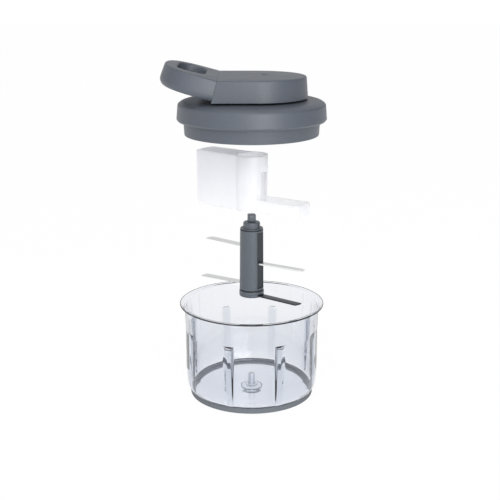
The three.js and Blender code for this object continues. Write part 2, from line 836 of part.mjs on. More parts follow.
// Plan of the handle grown outwards by a distance: a straight part from the seam, then a full round end.
function handlePlan(grow, seam = -GAP) {
  const half = HOUSING_HALF + grow;
  const end = HANDLE_END + grow;
  const plan = [
    [seam, -half],
    [seam, half],
  ];
  const steps = 24;
  for (let i = 0; i <= steps; i++) {
    const a = Math.PI / 2 - (Math.PI * i) / steps;
    const across = Math.abs(Math.sin(a)) ** (2 / HANDLE_POWER) * Math.sign(Math.sin(a));
    const along = Math.abs(Math.cos(a)) ** (2 / HANDLE_POWER);
    plan.push([-HANDLE_STRAIGHT - end * along, half * across]);
  }
  return plan;
}

// Plan of the finger opening grown by a distance: a slot with round ends, long across the handle.
function fingerPlan(grow) {
  const r = FINGER.halfWide + grow;
  const reach = FINGER.halfLong - FINGER.halfWide;
  const plan = [];
  for (let i = 0; i <= 12; i++) {
    const a = (Math.PI * i) / 12;
    plan.push([FINGER.centre + r * Math.cos(a), reach + r * Math.sin(a)]);
  }
  for (let i = 0; i <= 12; i++) {
    const a = Math.PI + (Math.PI * i) / 12;
    plan.push([FINGER.centre + r * Math.cos(a), -reach + r * Math.sin(a)]);
  }
  return plan;
}

function handleGrip() {
  const bottom = -HANDLE_THICK;
  const outer = lofted([
    { outline: handlePlan(-1.6), z: bottom },
    { outline: handlePlan(-0.4), z: bottom + 0.9 },
    { outline: handlePlan(0.6), z: bottom + 2.3 },
    { outline: handlePlan(1.2), z: bottom + 4.5 },
    ...CROWN.map(({ grow, below }) => ({ outline: handlePlan(grow), z: -below })),
  ]);
  const opening = lofted([
    { outline: fingerPlan(0), z: bottom - 1 },
    { outline: fingerPlan(0), z: -1.8 },
    { outline: fingerPlan(0.4), z: -0.8 },
    { outline: fingerPlan(1.1), z: 0 },
    { outline: fingerPlan(1.1), z: 1 },
  ]);
  const pocket = cut(
    raised(handlePlan(-HANDLE_WALL, -GAP - HANDLE_WALL), bottom - 1, -HANDLE_WALL),
    raised(fingerPlan(HANDLE_WALL), bottom - 2, 0),
  );
  const postBottom = bottom + HANDLE_PLATE_RECESS + HANDLE_PLATE_THICK + GAP;
  const posts = HANDLE_SCREWS.map(([x, y]) => cylinder(3, postBottom, -2, 12).translate(x, y, 0));
  const holes = HANDLE_SCREWS.map(([x, y]) => cylinder(1.25, bottom, bottom + 12.5, 12).translate(x, y, 0));
  const cordHole = new THREE.CylinderGeometry(CORD_R + 0.6, CORD_R + 0.6, 12, 16);
  cordHole.rotateZ(Math.PI / 2).translate(0, 0, CORD_DEPTH);
  const grip = cut(join(cut(outer, pocket, opening), ...posts), ...holes, cordHole);
  piece("handle_grip", grip, SLATE, { parent: handle, roughness: 0.55 });
}

// Centres of the four screws that hold the plate under the handle.
const HANDLE_SCREWS = [
  [-7, 33],
  [-7, -33],
  [-40.2, 6],
  [-40.2, -6],
];

function handlePlate() {
  const bottom = -HANDLE_THICK + HANDLE_PLATE_RECESS;
  const plan = handlePlan(-HANDLE_WALL - GAP, -2 * GAP - HANDLE_WALL);
  const outline = raised(plan, bottom, bottom + HANDLE_PLATE_THICK);
  const opening = raised(fingerPlan(HANDLE_WALL + GAP), bottom - 1, bottom + HANDLE_PLATE_THICK + 1);
  const holes = HANDLE_SCREWS.map(([x, y]) => cylinder(1.3, bottom - 1, bottom + 4, 12).translate(x, y, 0));
  piece("handle_plate", cut(outline, opening, ...holes), SLATE_DARK, { parent: handle, roughness: 0.6 });
  HANDLE_SCREWS.forEach(([x, y], i) => {
    const made = screw(1.7, 1, 0.9, 8).translate(x, y, bottom - GAP);
    piece(`handle_screw_${i + 1}`, made, STEEL, { parent: handle, roughness: 0.35, metalness: 1 });
  });
}

// The cord's end inside the handle: a crimped stop behind the wall, and the short length through the eyelet.
function cordEnd() {
  const stop = new THREE.CylinderGeometry(2.6, 2.6, STOP_LENGTH, 16);
  stop.rotateZ(Math.PI / 2).translate(-HANDLE_WALL - 3 * GAP - STOP_LENGTH / 2, 0, CORD_DEPTH);
  const path = new THREE.LineCurve3(
    new THREE.Vector3(-HANDLE_WALL - 2 * GAP, 0, CORD_DEPTH),
    new THREE.Vector3(CORD_MEET, 0, CORD_DEPTH),
  );
  const round = new THREE.Shape().absarc(0, 0, CORD_R, 0, 2 * Math.PI);
  const length = new THREE.ExtrudeGeometry(round, { extrudePath: path, steps: 1, curveSegments: 6 });
  piece("cord_stop", stop, STEEL, { parent: handle, roughness: 0.35, metalness: 1 });
  piece("pull_cord", length, CORD_WHITE, { parent: handle, roughness: 0.9 });
}

// The cord's run inside the housing, from the coil's side to the eyelet.
function cordLead() {
  const fromX = SEAM_X + (CORD_MEET + 2) * Math.cos(TILT) + CORD_DEPTH * Math.sin(TILT);
  const z = HOUSING_TOP - (CORD_MEET + 2) * Math.sin(TILT) + CORD_DEPTH * Math.cos(TILT);
  const tangentR = COIL_R + GAP + CORD_R + 0.1;
  const turn = Math.acos(tangentR / -fromX);
  const tangent = new THREE.Vector3(-tangentR * Math.cos(turn), tangentR * Math.sin(turn), z);
  const path = new THREE.LineCurve3(new THREE.Vector3(fromX, 0, z), tangent);
  const round = new THREE.Shape().absarc(0, 0, CORD_R, 0, 2 * Math.PI);
  const lead = new THREE.ExtrudeGeometry(round, { extrudePath: path, steps: 1, curveSegments: 6 });
  piece("cord_lead", lead, CORD_WHITE, { roughness: 0.9 });
}

// ---------------------------------------------------------------- assembly

bowl();
baseRing();
spindlePin();

spindleBush();
shaftCollar();
bladeShaft();
driveTip();
blades();

bladeCover();

lid();
lidSeal();
lidUnderPlate();
springCup();
returnSpring();
housingNeck();
housingShell();
cordEyelet();
reelAxle();

cordReel();
woundCord();
ratchet();
driveSocket();

handleGrip();
handlePlate();
cordEnd();
cordLead();

export default group;
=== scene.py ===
import math

import bpy
from mathutils import Matrix, Vector


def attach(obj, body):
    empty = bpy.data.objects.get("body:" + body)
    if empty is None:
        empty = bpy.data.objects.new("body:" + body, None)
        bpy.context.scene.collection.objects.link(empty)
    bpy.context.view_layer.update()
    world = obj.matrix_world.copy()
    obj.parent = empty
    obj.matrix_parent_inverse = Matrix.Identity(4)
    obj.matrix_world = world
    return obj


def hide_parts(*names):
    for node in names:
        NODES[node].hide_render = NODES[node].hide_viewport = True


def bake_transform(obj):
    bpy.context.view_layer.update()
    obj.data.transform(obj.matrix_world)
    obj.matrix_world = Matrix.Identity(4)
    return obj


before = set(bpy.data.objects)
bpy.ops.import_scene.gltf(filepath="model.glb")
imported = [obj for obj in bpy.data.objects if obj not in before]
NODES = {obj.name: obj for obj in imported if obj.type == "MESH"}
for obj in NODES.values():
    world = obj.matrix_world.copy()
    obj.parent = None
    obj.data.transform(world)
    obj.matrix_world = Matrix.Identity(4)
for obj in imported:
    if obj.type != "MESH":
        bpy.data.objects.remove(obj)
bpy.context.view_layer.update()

MM = 0.001

# Sizes in millimetres, most of them shared with the solid model
RIM_R = 64
RIM_LIP = 0.6
RIM_LIP_DEPTH = 1.15
BOWL_TOP = 84.2
FLOOR_BOTTOM = 2
FLOOR_TOP = 4
BODY_R = 59.1
BODY_INNER_R = 56.6
MOUTH_INNER_R = 58.8
RIB_COUNT = 8
RIB_FIRST_ANGLE = -65.2
RIB_HALF_INNER = 1.6
RIB_HALF_OUTER = 5
RIB_INNER_R = 54.9
RIB_TOP = 61.6
RIB_ROUND = 6
FOOT_R = 9.5
PIN_R = 3
PIN_TOP = 15
UNIT_BOTTOM = 90.5
COLLAR_R = 10.93
COLLAR_HEIGHT = 5.2
SHAFT_R = 10.6
SHAFT_TOP_R = 10.2
SHOULDER_Z = 152.5
STEP_R = 7.45
STEP_TOP = 158.3
TIP_TOP = 164.5
TIP_HALF = 3.4
TIP_CORNER = 2.31
TIP_ANGLE = 12
STEM_R = 2.5
CHANNEL_DEPTH = 1.4
CHANNEL_FOOT = 2.5
CHANNEL_HEAD = 3
FOOT_GROOVE_DEPTH = 1
FOOT_GROOVE_TOP = 1.1
COLLAR_BORE_R = 6.7
BUSH_HOLE_R = 5.7
BUSH_HOLE_HEIGHT = 11.6
BLADE_CHORD = 7.8
BLADE_THICK = 1.3
BLADE_ROOT_R = 7.3
BLADE_POINT = 3.2
BLADE_CUT = 1.5
BLADE_GRIND = 2.2
# Name, height above the unit's bottom, direction in degrees, reach from the axis
BLADES = [
    ("blade_low_right", 1.6, -37.8, 52.1),
    ("blade_low_left", 10.1, 147.8, 52),
    ("blade_mid_right", 30.8, -31.6, 52.1),
    ("blade_top_left", 44.2, 140.3, 51),
]
COVER_BOTTOM = 169.5
COVER_HEIGHT = 48
COVER_WALL = 1.2
HUB_R = 14
HUB_WALL = 1.4
WING_R = 53.6
TALL_WING_ANGLE = 143
TALL_WING_HALF = 11.4
LOW_WING_ANGLE = -33
LOW_WING_HALF = 10
LOW_WING_HEIGHT = 10.5
COVER_SLOT_ANGLE = -31
COVER_SLOT_HALF = 5.3
COVER_SLOT_HEIGHT = 34
PLUG_BOTTOM = 235
FLANGE_BOTTOM = 247
LID_TOP = 264.8
LID_CEILING = 261.6
LID_MIDDLE_BOTTOM = 259.2
LID_MIDDLE_R = 31
PLUG_R = 58.2
PLUG_BOTTOM_R = 57.5
PLUG_WALL = 2.5
LID_HOLE_R = 8.2
HOUSING_BOTTOM = 266.4
HOUSING_TOP = 285.1
HOUSING_HALF = 42.6
HOUSING_DRAFT = 1.4
HOUSING_END_X = 3.7
HOUSING_LEFT = -48
SEAM_WALL = 2.5
EYELET_HOLE_R = 3
VENT_X = 10.4
VENT_R = 2.6
VENT_DEPTH = 1.6
SEAM_X = -28
TILT = math.radians(15)
HANDLE_THICK = 17.7
HANDLE_STRAIGHT = 14
HANDLE_END = 31.8
HANDLE_POWER = 2.4
HANDLE_WALL = 3
FINGER_X = -22.8
FINGER_HALF_LONG = 27
FINGER_HALF_WIDE = 12
GAP = 0.3
CORD_DEPTH = -10
CORD_R = 1.2
CORD_MEET = 4.1


# ------------------------------------------------------------------ mesh helpers


def make_object(name, verts, faces, sharp=35):
    mesh = bpy.data.meshes.new(name)
    mesh.from_pydata([(x * MM, y * MM, z * MM) for x, y, z in verts], [], faces)
    mesh.validate()
    mesh.update()
    obj = bpy.data.objects.new(name, mesh)
    bpy.context.scene.collection.objects.link(obj)
    smooth(obj, sharp)
    return obj


def smooth(obj, sharp=35):
    obj.data.shade_smooth()
    obj.data.set_sharp_from_angle(angle=math.radians(sharp))


def rounded(points, steps=4):
    """Profile or outline points (x, y) or (x, y, radius): each corner with a radius becomes an arc."""
    out = []
    count = len(points)
    for i, point in enumerate(points):
        x, y = point[0], point[1]
        radius = point[2] if len(point) > 2 else 0
        if radius <= 0:
            out.append((x, y))
            continue
        before = Vector(points[(i - 1) % count][:2]) - Vector((x, y))
        after = Vector(points[(i + 1) % count][:2]) - Vector((x, y))
        angle = before.angle(after)
        reach = min(radius / math.tan(angle / 2), before.length * 0.49, after.length * 0.49)
        r = reach * math.tan(angle / 2)
        start = Vector((x, y)) + before.normalized() * reach
        end = Vector((x, y)) + after.normalized() * reach
        middle = Vector((x, y)) + (before.normalized() + after.normalized()).normalized() * (
            r / math.sin(angle / 2)
        )
        a0 = math.atan2(start.y - middle.y, start.x - middle.x)
        a1 = math.atan2(end.y - middle.y, end.x - middle.x)
        turn = (a1 - a0 + math.pi) % (2 * math.pi) - math.pi
        for k in range(steps + 1):
            a = a0 + turn * k / steps
            out.append((middle.x + r * math.cos(a), middle.y + r * math.sin(a)))
    return out


def held(profile, reach=0.2):
    """Adds a point near each end of every long straight run, so that shading bends only at the corners."""
    out = [profile[0]]
    for (r0, z0), (r1, z1) in zip(profile, profile[1:]):
        length = math.hypot(r1 - r0, z1 - z0)
        if length > 5 * reach:
            for t in (reach / length, 1 - reach / length):
                out.append((r0 + (r1 - r0) * t, z0 + (z1 - z0) * t))
        out.append((r1, z1))
    return out


def lathe(name, profile, segments=128, closed=True, sharp=35, shape=None, angles=None):
    """A turned solid. The profile is (radius, height), bottom first and then up the outside."""
    verts, faces, rings = [], [], []
    angles = angles or [2 * math.pi * s / segments for s in range(segments)]
    segments = len(angles)
    for index, (r, z) in enumerate(profile):
        if r < 1e-6:
            rings.append([len(verts)])
            verts.append((0, 0, z))
            continue
        ring = []
        for a in angles:
            radius = shape(index, r, z, a) if shape else r
            ring.append(len(verts))
            verts.append((radius * math.cos(a), radius * math.sin(a), z))
        rings.append(ring)
    pairs = list(zip(rings, rings[1:]))
    if closed:
        pairs.append((rings[-1], rings[0]))
    for low, high in pairs:
        if len(low) == 1 and len(high) == 1:
            continue
        for s in range(segments):
            t = (s + 1) % segments
            if len(low) == 1:
                faces.append((low[0], high[t], high[s]))
            elif len(high) == 1:
                faces.append((low[s], low[t], high[0]))
            else:
                faces.append((low[s], low[t], high[t], high[s]))
    return make_object(name, verts, faces, sharp)


def loft(name, sections, sharp=35):
    """A solid through plan outlines of equal counts, given as (outline, height), bottom first."""
    verts, faces = [], []
    count = len(sections[0][0])
    for outline, z in sections:
        verts += [(x, y, z) for x, y in outline]
    for s in range(len(sections) - 1):
        for i in range(count):
            j = (i + 1) % count
            a, b = s * count + i, s * count + j
            faces.append((a, b, b + count, a + count))
    last = (len(sections) - 1) * count
    faces.append(tuple(range(count - 1, -1, -1)))
    faces.append(tuple(range(last, last + count)))
    return make_object(name, verts, faces, sharp)


def box_tool(x0, x1, y0, y1, z0, z1):
    outline = [(x0, y0), (x1, y0), (x1, y1), (x0, y1)]
    return loft("tool", [(outline, z0), (outline, z1)])


def cylinder_tool(radius, z0, z1, segments, x=0, y=0):
    outline = []
    for s in range(segments):
        a = 2 * math.pi * s / segments
        outline.append((x + radius * math.cos(a), y + radius * math.sin(a)))
    return loft("tool", [(outline, z0), (outline, z1)])


def apply_modifiers(obj):
    bpy.context.view_layer.update()
    graph = bpy.context.evaluated_depsgraph_get()
    made = bpy.data.meshes.new_from_object(obj.evaluated_get(graph))
    obj.modifiers.clear()
    obj.data = made
    return obj


def combine(obj, *tools, operation="DIFFERENCE"):
    for tool in tools:
        modifier = obj.modifiers.new("combine", "BOOLEAN")
        modifier.operation = operation
        modifier.solver = "EXACT"
        modifier.object = tool
        apply_modifiers(obj)
        bpy.data.objects.remove(tool)
    return obj


def soften(obj, width, segments=2, angle=40, sharp=35):
    modifier = obj.modifiers.new("bevel", "BEVEL")
    modifier.width = width * MM
    modifier.segments = segments
    modifier.limit_method = "ANGLE"
    modifier.angle_limit = math.radians(angle)
    modifier.harden_normals = False
    apply_modifiers(obj)
    smooth(obj, sharp)
    return obj


def turned(obj, degrees):
    obj.data.transform(Matrix.Rotation(math.radians(degrees), 4, "Z"))
    return obj


def to_handle(obj):
    """Carries a piece made in the handle's own frame to its tilted place."""
    place = Matrix.Translation((SEAM_X * MM, 0, HOUSING_TOP * MM)) @ Matrix.Rotation(TILT, 4, "Y")
    obj.data.transform(place)
    return obj


def finish_piece(obj, body, slot, material, *replaced):
    obj.data.materials.clear()
    obj.data.materials.append(material)
    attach(obj, body)
    if replaced:
        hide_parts(*replaced)


# ------------------------------------------------------------------ materials


def new_material(name):
    material = bpy.data.materials.new(name)
    material.use_nodes = True
    tree = material.node_tree
    shader = tree.nodes["Principled BSDF"]
    return material, tree, shader


def add(tree, kind, **values):
    """Adds a node. Each value sets the input of that name, or else the node's own property."""
    node = tree.nodes.new(kind)
    for key, value in values.items():
        if key in node.inputs:
            node.inputs[key].default_value = value
        else:
            setattr(node, key, value)
    return node


def noise(tree, scale, detail, roughness):
    coords = add(tree, "ShaderNodeTexCoord")
    node = add(tree, "ShaderNodeTexNoise", Scale=scale, Detail=detail, Roughness=roughness)
    tree.links.new(coords.outputs["Object"], node.inputs["Vector"])
    return node


def remapped(tree, source, low, high):
    """Spreads a value between two others."""
    node = add(tree, "ShaderNodeMapRange")
    node.inputs["To Min"].default_value = low
    node.inputs["To Max"].default_value = high
    tree.links.new(source, node.inputs["Value"])
    return node.outputs["Result"]


def ramp(tree, source, stops):
    node = add(tree, "ShaderNodeValToRGB")
    elements = node.color_ramp.elements
    while len(elements) < len(stops):
        elements.new(0.5)
    for element, (position, colour) in zip(elements, stops):
        element.position = position
        element.color = (*colour, 1)
    tree.links.new(source, node.inputs["Fac"])
    return node


def bump(tree, source, shader, strength, distance):
    """Turns a value into relief on the shader's surface. The distance is in metres."""
    node = add(tree, "ShaderNodeBump", Strength=strength, Distance=distance)
    tree.links.new(source, node.inputs["Height"])
    tree.links.new(node.outputs["Normal"], shader.inputs["Normal"])


PLASTIC_SPECULAR = 0.52
CLEAR_IOR = 1.49
# What the clear plastic's depth takes from the light: nearly all of the red, least of the blue
CLEAR_DENSITY = 68.0
CLEAR_DEPTH_TINT = (0.0, 0.11, 0.30)
MILKY_DEPTH = 0.012
# Colour of the milky plastic's painted glow, an emission that stands in for light coming through its wall
MILKY_PAINTED_GLOW = (0.94, 0.94, 1)


def spark_plastic(name, colour, roughness, speck=0.12, grain=0.25):
    """Moulded plastic with a fine grain and small paler specks."""
    material, tree, shader = new_material(name)
    low = tuple(c * (1 - speck) for c in colour)
    high = tuple(min(1, c * (1 + speck)) for c in colour)
    bright = tuple(min(1, c * (1 + 3.2 * speck)) for c in colour)
    fine = noise(tree, 1300, 3, 0.65)
    tint = ramp(tree, fine.outputs["Fac"], [(0.30, low), (0.55, high), (0.72, high), (0.80, bright)])
    tree.links.new(tint.outputs["Color"], shader.inputs["Base Color"])
    cloud = noise(tree, 60, 2, 0.5)
    rough = remapped(tree, cloud.outputs["Fac"], roughness - 0.05, roughness + 0.06)
    tree.links.new(rough, shader.inputs["Roughness"])
    texture = noise(tree, 2600, 2, 0.6)
    bump(tree, texture.outputs["Fac"], shader, grain, 0.00008)
    shader.inputs["Specular IOR Level"].default_value = PLASTIC_SPECULAR
    return material


def metal(name, colour, roughness, scale=400, strength=0.12):
    """Ground metal with fine marks in its tint, its gloss and its surface."""
    material, tree, shader = new_material(name)
    shader.inputs["Metallic"].default_value = 1
    marks = noise(tree, scale, 4, 0.6)
    low = tuple(c * 0.88 for c in colour)
    tint = ramp(tree, marks.outputs["Fac"], [(0.3, low), (0.7, colour)])
    tree.links.new(tint.outputs["Color"], shader.inputs["Base Color"])
    rough = remapped(tree, marks.outputs["Fac"], roughness - 0.07, roughness + 0.08)
    tree.links.new(rough, shader.inputs["Roughness"])
    bump(tree, marks.outputs["Fac"], shader, strength, 0.00005)
    return material


def clear_plastic(name, tint, through=(0.93, 0.94, 0.96), roughness=0.02):
    """Clear moulded plastic, tinted by its depth. Light passes straight through it to what stands inside."""
    material, tree, shader = new_material(name)
    shader.inputs["Base Color"].default_value = (*tint, 1)
    shader.inputs["Roughness"].default_value = roughness
    shader.inputs["IOR"].default_value = CLEAR_IOR
    shader.inputs["Transmission Weight"].default_value = 1
    waves = noise(tree, 26, 1, 0.4)
    bump(tree, waves.outputs["Fac"], shader, 0.05, 0.0006)
    path = add(tree, "ShaderNodeLightPath")
    open_shader = add(tree, "ShaderNodeBsdfTransparent")
    open_shader.inputs["Color"].default_value = (*through, 1)
    mix = add(tree, "ShaderNodeMixShader")
    tree.links.new(path.outputs["Is Shadow Ray"], mix.inputs["Fac"])
    tree.links.new(shader.outputs["BSDF"], mix.inputs[1])
    tree.links.new(open_shader.outputs["BSDF"], mix.inputs[2])
    output = tree.nodes["Material Output"]
    tree.links.new(mix.outputs["Shader"], output.inputs["Surface"])
    inside = add(tree, "ShaderNodeVolumeAbsorption", Density=CLEAR_DENSITY)
    inside.inputs["Color"].default_value = (*CLEAR_DEPTH_TINT, 1)
    tree.links.new(inside.outputs["Volume"], output.inputs["Volume"])
    return material


def frosted(name, colour, roughness=0.42, painted_glow=0.12):
    """Milky plastic. Its glow is painted light: an emission that stands in for the light coming through its
    wall and lightens the shade on its tops.
    """
    material, tree, shader = new_material(name)
    low = tuple(c * 0.965 for c in colour)
    cloud = noise(tree, 90, 3, 0.55)
    tint = ramp(tree, cloud.outputs["Fac"], [(0.3, low), (0.7, colour)])
    tree.links.new(tint.outputs["Color"], shader.inputs["Base Color"])
    shader.inputs["Roughness"].default_value = roughness
    shader.inputs["Subsurface Weight"].default_value = 1
    shader.inputs["Subsurface Radius"].default_value = (1.0, 1.0, 1.0)
    shader.inputs["Subsurface Scale"].default_value = MILKY_DEPTH
    shader.inputs["Emission Color"].default_value = (*MILKY_PAINTED_GLOW, 1)
    shader.inputs["Emission Strength"].default_value = painted_glow
    grain = noise(tree, 1800, 2, 0.5)
    bump(tree, grain.outputs["Fac"], shader, 0.1, 0.00006)
    return material


def braid(name, colour):
    """A braided cord: fine slanting strands."""
    material, tree, shader = new_material(name)
    coords = add(tree, "ShaderNodeTexCoord")
    wave = add(tree, "ShaderNodeTexWave", Scale=520, Distortion=2.0)
    wave.inputs["Detail"].default_value = 1
    wave.bands_direction = "DIAGONAL"
    tree.links.new(coords.outputs["Object"], wave.inputs["Vector"])
    low = tuple(c * 0.72 for c in colour)
    tint = ramp(tree, wave.outputs["Fac"], [(0.2, low), (0.8, colour)])
    tree.links.new(tint.outputs["Color"], shader.inputs["Base Color"])
    shader.inputs["Roughness"].default_value = 0.85
    shader.inputs["Sheen Weight"].default_value = 0.3
    bump(tree, wave.outputs["Fac"], shader, 0.5, 0.0002)
    return material


SLATE = spark_plastic("slate_plastic", (0.080, 0.092, 0.114), 0.44)
SLATE_LOW = spark_plastic("slate_plastic_low", (0.078, 0.092, 0.112), 0.5)
SHAFT = spark_plastic("shaft_plastic", (0.082, 0.096, 0.114), 0.38, speck=0.06, grain=0.12)
# A near-black copy of the shaft's plastic: painted shade for its channel and grooves
SHAFT_PAINTED_SHADE = spark_plastic("shaft_plastic_painted_shade", (0.020, 0.025, 0.031), 0.5, speck=0.06, grain=0.12)
RUBBER = spark_plastic("soft_rubber", (0.130, 0.145, 0.165), 0.75, speck=0.05, grain=0.4)
# Near-black rubber: painted shade for the vent hole on the housing's top
RUBBER_PAINTED_SHADE = spark_plastic("rubber_painted_shade", (0.045, 0.052, 0.060), 0.7, speck=0.05, grain=0.4)
CLEAR = clear_plastic("clear_plastic", (0.97, 0.975, 0.99))
# A near-black copy of the clear plastic: painted shade for the dark lines that bent light makes along the
# rim and the foot
CLEAR_PAINTED_DARK_EDGE = clear_plastic("clear_plastic_painted_dark_edge", (0.02, 0.022, 0.027), (0.6, 0.61, 0.63), 0.08)
# The cover's plastic glows a little: painted light that lightens the shade on its tops under the lid
WHITE = frosted("white_plastic", (0.765, 0.77, 0.805))
WHITE_INNER = frosted("white_inner", (0.85, 0.85, 0.85), painted_glow=0)
BLADE = metal("blade_steel", (0.95, 0.955, 0.96), 0.32, 500, 0.1)
BLADE_DARK = metal("blade_steel_dark", (0.075, 0.085, 0.097), 0.35, 500, 0.1)
STEEL = metal("plain_steel", (0.60, 0.61, 0.63), 0.3)
STEEL_SOFT = metal("satin_steel", (0.74, 0.75, 0.78), 0.55)
CORD = braid("braided_cord", (0.78, 0.78, 0.76))


# ------------------------------------------------------------------ bowl


WALL_FOOT_R = 56.0
WALL_FOOT_Z = 10
WALL_SLOPE = 0.03
WALL_CURVE = 0.00011
# Heights of the inside wall's rings, close together where the ribs' tops round off
WALL_LEVELS = [76, 72, 68, 64.5, 62.5]
WALL_LEVELS += [61.6, 61.55, 61.4, 61.1, 60.7, 60.2, 59.5, 58.7, 57.8, 57, 56]
WALL_LEVELS += [52, 45, 36, 27, 18, 13]
# Facets across a rib, as distances along the wall from its middle, and their count between two ribs
RIB_STEPS = [-5.4 + 0.4 * k for k in range(27)]
PLAIN_STEPS = 30
MOUTH_FILLET = 2.4
MOUTH_FILLET_END = 78.5
FLOOR_FILLET = 6
FLOOR_FILLET_STEPS = 12


def wall_radius(z):
    """The inside wall between the ribs, which opens slightly towards the mouth."""
    h = z - WALL_FOOT_Z
    return WALL_FOOT_R + WALL_SLOPE * h + WALL_CURVE * h * h


def bowl_angles():
    """Directions of the bowl's facets: close together across each rib, even between the ribs."""
    spacing = 2 * math.pi * BODY_INNER_R / RIB_COUNT
    first = math.radians(RIB_FIRST_ANGLE)
    offsets = list(RIB_STEPS)
    gap = spacing - 2 * abs(RIB_STEPS[0])
    offsets += [abs(RIB_STEPS[0]) + gap * k / PLAIN_STEPS for k in range(PLAIN_STEPS)]
    angles = []
    for rib in range(RIB_COUNT):
        angles += [first + (rib * spacing + offset) / BODY_INNER_R for offset in sorted(offsets)]
    return angles


def ribbed(r, z, a):
    """Radius of the inside wall in direction a: the rib stands in from the wall, with sloping sides."""
    if z >= RIB_TOP or r <= RIB_INNER_R:
        return r
    step = 2 * math.pi / RIB_COUNT
    turn = a - math.radians(RIB_FIRST_ANGLE)
    off = abs((turn + step / 2) % step - step / 2) * BODY_INNER_R
    side = min(1, max(0, (off - RIB_HALF_INNER) / (RIB_HALF_OUTER - RIB_HALF_INNER)))
    side = side * side * (3 - 2 * side)
    near_top = max(0, (z - (RIB_TOP - RIB_ROUND)) / RIB_ROUND)
    depth = (r - RIB_INNER_R) * math.sqrt(max(0, 1 - near_top**2))
    return r - depth * (1 - side)


def make_bowl():
    outside = rounded(
        [
            (0, 0),
            (8, 0),
            (FOOT_R, 0, 0.6),
            (FOOT_R, FLOOR_BOTTOM, 0.6),
            (12, FLOOR_BOTTOM),
            (50, FLOOR_BOTTOM),
            (52.9, FLOOR_BOTTOM, 0.5),
            (52.9, 3.2, 0.4),
            (54.4, 5.3, 0.4),
            (55.8, 5.3, 0.5),
            (57.2, 8, 4),
            (58.2, 12, 8),
            (BODY_R, 24, 20),
            (BODY_R, 60, 20),
            (59.9, BOWL_TOP - 2.2, 1.5),
            (60.7, BOWL_TOP - 1.4, 0.8),
            (63.5, BOWL_TOP - 1.1, 0.6),
            (RIM_R, BOWL_TOP - 0.8, 0.3),
            (RIM_R, BOWL_TOP, 0.35),
            (MOUTH_INNER_R + 0.1, BOWL_TOP, MOUTH_FILLET),
            (wall_radius(MOUTH_FILLET_END), MOUTH_FILLET_END),
        ],
        9,
    )
    outside = held(outside)
    inside = [(wall_radius(z), z) for z in WALL_LEVELS]
    inside.append((WALL_FOOT_R, WALL_FOOT_Z))
    middle = WALL_FOOT_R - FLOOR_FILLET
    for k in range(1, FLOOR_FILLET_STEPS + 1):
        a = k / FLOOR_FILLET_STEPS * math.pi / 2
        drop = FLOOR_FILLET * math.sin(a)
        inside.append((middle + FLOOR_FILLET * math.cos(a), FLOOR_TOP + FLOOR_FILLET - drop))
    inside += [(middle - 0.8, FLOOR_TOP), (middle - 3, FLOOR_TOP), (10, FLOOR_TOP)]
    inside += rounded(
        [
            (8, FLOOR_TOP),
            (6, FLOOR_TOP, 0.4),
            (5.6, FLOOR_TOP + 1.2, 0.4),
            (PIN_R + GAP, FLOOR_TOP + 1.2, 0.2),
            (PIN_R + GAP, 1.2),
            (0, 1.2),
        ],
        3,
    )
    first = len(outside)
    bowl = lathe(
        "bowl_clear",
        outside + inside,
        angles=bowl_angles(),
        closed=False,
        sharp=50,
        shape=lambda index, r, z, a: ribbed(r, z, a) if index >= first else r,
    )
    finish_piece(bowl, "bowl", "clear_plastic", CLEAR, "bowl")
    # Painted shade: the faces of the rim's lip and of the foot's wall take the near-black clear plastic, for
    # the dark lines there
    bowl.data.materials.append(CLEAR_PAINTED_DARK_EDGE)
    for face in bowl.data.polygons:
        x, y, z = face.center / MM
        radius = math.hypot(x, y)
        on_lip = radius > RIM_R - RIM_LIP and z > BOWL_TOP - RIM_LIP_DEPTH
        on_foot = FOOT_R - 0.5 < radius < FOOT_R + 0.1 and 0.2 < z < FLOOR_BOTTOM - 0.2
        if on_lip or on_foot:
            face.material_index = 1


make_bowl()

ring = rounded(
    [
        (50.6, 0, 0.5),
        (55.1, 0, 0.7),
        (55.6, 5, 0.3),
        (54.7, 5, 0.2),
        (53.25, 3, 0.3),
        (53.25, FLOOR_BOTTOM - GAP, 0.2),
        (50.6, FLOOR_BOTTOM - GAP, 0.4),
    ]
)
finish_piece(lathe("base_ring_soft", held(ring), 160), "bowl", "soft_rubber", RUBBER, "base_ring")

pin = rounded([(0, 1.5), (PIN_R, 1.5, 0.2), (PIN_R, PIN_TOP, 1), (0, PIN_TOP)], 6)
finish_piece(lathe("spindle_pin_round", pin, 64, False), "bowl", "steel", STEEL_SOFT, "spindle_pin")


# ------------------------------------------------------------------ blade unit


def blade_tool(blade, margin):
    """The room that a blade's root takes in the shaft or collar."""
    _, height, angle, _ = blade
    z = UNIT_BOTTOM + height
    half = BLADE_CHORD / 2 + margin
    thick = BLADE_THICK / 2 + margin
    return turned(box_tool(BLADE_ROOT_R - margin, 20, -half, half, z - thick, z + thick), angle)


